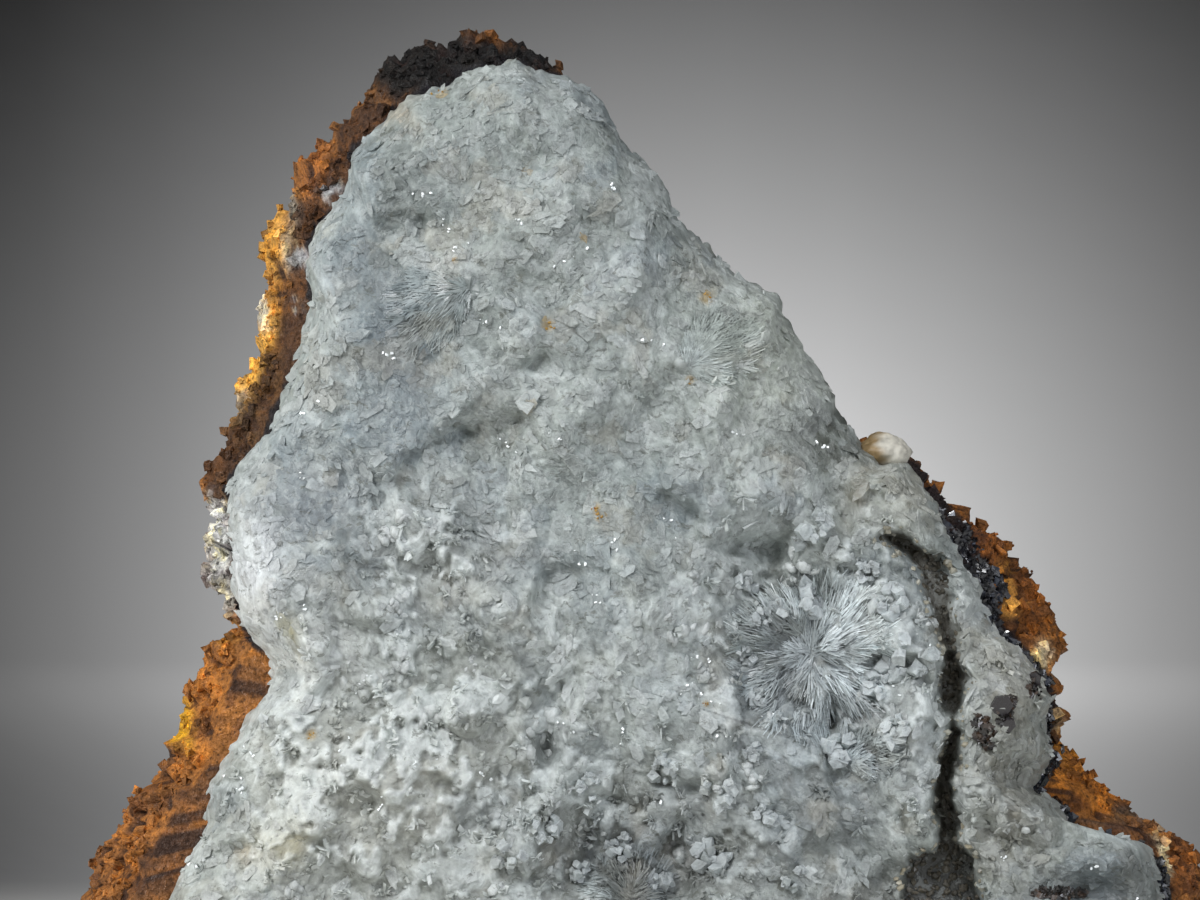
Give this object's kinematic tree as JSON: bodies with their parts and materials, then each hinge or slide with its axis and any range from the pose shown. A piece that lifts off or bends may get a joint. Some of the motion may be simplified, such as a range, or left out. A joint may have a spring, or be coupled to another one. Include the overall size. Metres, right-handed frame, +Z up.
{
  "type": "angastonite with minyulite specimen",
  "caption": "Standing hand specimen: pale platy angastonite crust with radiating minyulite sprays on a broken block of rusty limonite rock.",
  "frame": {"origin": "middle of the flat broken base that the specimen stands on", "axes": "+Z up, +X to the right along the specimen's width, -Y out of the crystal face towards the viewer"},
  "size_m": [0.0604, 0.031, 0.0543],
  "materials": {
    "limonite": "rough, earthy, pitted",
    "angastonite": "milky, satin to glassy on crystal faces",
    "minyulite": "silky, slightly translucent needles"
  },
  "bodies": {
    "root": {"limonite_matrix": "limonite", "angastonite_crust": "angastonite", "minyulite_spray_main": "minyulite", "minyulite_fan_upper_right": "minyulite", "minyulite_fan_lower_right": "minyulite", "minyulite_fan_upper_left": "minyulite", "minyulite_spray_bottom": "minyulite"}
  },
  "joints": []
}
